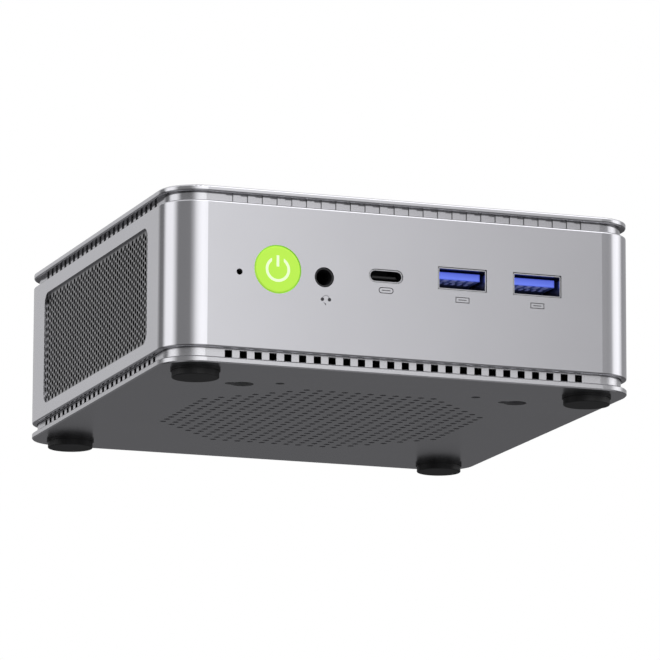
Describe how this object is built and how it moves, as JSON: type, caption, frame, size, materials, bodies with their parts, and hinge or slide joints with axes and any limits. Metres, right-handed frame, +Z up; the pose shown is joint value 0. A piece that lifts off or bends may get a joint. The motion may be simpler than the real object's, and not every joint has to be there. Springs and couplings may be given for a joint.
{
  "type": "mini pc",
  "caption": "Small square desktop computer with a satin metal case, slotted shadow gaps, perforated sides, a round green power button, front ports and a vented underside on rubber feet.",
  "frame": {"origin": "middle of the footprint, on the surface the feet stand on", "axes": "+Z up, -Y to the front with the power button, +X to the right seen from the front"},
  "size_m": [0.127, 0.1288, 0.0478],
  "materials": {
    "shell_metal": "satin",
    "lid_metal": "satin",
    "base_metal": "satin",
    "mesh_metal": "satin",
    "foot_rubber": "matte",
    "button_green": "satin",
    "symbol_pale": "gloss",
    "tongue_blue": "satin",
    "tongue_black": "matte",
    "socket_metal": "satin",
    "black_plastic": "matte",
    "rotor_plastic": "matte",
    "board_laminate": "satin",
    "copper": "satin",
    "fin_aluminium": "satin",
    "bracket_steel": "satin",
    "bright_steel": "gloss",
    "contact_gold": "gloss"
  },
  "bodies": {
    "case": {"blower_housing": "black_plastic", "bottom_cover": "base_metal", "bracket_screws": "bright_steel", "button_guide": "black_plastic", "card_screws": "bright_steel", "case_screws": "bright_steel", "cell_holder": "black_plastic", "chips": "black_plastic", "coin_cell": "bright_steel", "cold_plate": "copper", "dc_jack": "black_plastic", "dc_jack_pin": "bright_steel", "display_shell": "socket_metal", "display_tongue": "tongue_black", "drive": "board_laminate", "drive_socket": "black_plastic", "fan_bracket": "bracket_steel", "fan_frame": "black_plastic", "fin_stack": "fin_aluminium", "foot_front_left": "foot_rubber", "foot_front_right": "foot_rubber", "foot_rear_left": "foot_rubber", "foot_rear_right": "foot_rubber", "front_usb_a_left_shell": "socket_metal", "front_usb_a_left_tongue": "tongue_blue", "front_usb_a_right_shell": "socket_metal", "front_usb_a_right_tongue": "tongue_blue", "front_usb_c_shell": "socket_metal", "front_usb_c_tongue": "tongue_black", "hdmi_shell": "socket_metal", "hdmi_tongue": "tongue_black", "headset_jack": "black_plastic", "heat_pipes": "copper", "lan_contacts": "contact_gold", "lan_socket": "socket_metal", "left_mesh": "mesh_metal", "main_shell": "shell_metal", "memory_module_lower": "board_laminate", "memory_module_upper": "board_laminate", "memory_socket": "black_plastic", "motherboard": "board_laminate", "power_stage": "black_plastic", "power_switch": "black_plastic", "processor": "board_laminate", "rear_panel": "black_plastic", "rear_usb_a_inner_shell": "socket_metal", "rear_usb_a_inner_tongue": "tongue_blue", "rear_usb_a_outer_shell": "socket_metal", "rear_usb_a_outer_tongue": "tongue_blue", "reset_switch": "black_plastic", "right_mesh": "mesh_metal", "top_lid": "lid_metal", "wireless_card": "board_laminate", "wireless_card_socket": "black_plastic"},
    "power_button": {"power_button": "button_green", "power_symbol": "symbol_pale"},
    "power_plunger": {"power_switch_plunger": "rotor_plastic"},
    "reset_plunger": {"reset_switch_plunger": "rotor_plastic"},
    "blower_rotor": {"blower_rotor": "rotor_plastic"},
    "fan_rotor": {"fan_rotor": "rotor_plastic"}
  },
  "joints": [
    {"name": "power_press", "type": "slide", "parent": "case", "child": "power_button", "axis": [0, 1, 0], "range_m": [0, 0.0006], "stiffness_N_per_m": 800},
    {"name": "power_plunger_press", "type": "slide", "parent": "case", "child": "power_plunger", "axis": [0, 1, 0], "range_m": [0, 0.0006]},
    {"name": "reset_press", "type": "slide", "parent": "case", "child": "reset_plunger", "axis": [0, 1, 0], "range_m": [0, 0.00025], "stiffness_N_per_m": 800},
    {"name": "blower_spin", "type": "hinge", "parent": "case", "child": "blower_rotor", "pos_m": [0, 0.0026, 0.008], "axis": [0, 0, 1], "continuous": true},
    {"name": "fan_spin", "type": "hinge", "parent": "case", "child": "fan_rotor", "pos_m": [0, -0.002, 0.038], "axis": [0, 0, 1], "continuous": true}
  ],
  "couplings": [
    {"joint": "power_plunger_press", "follows": "power_press", "ratio": 1}
  ]
}
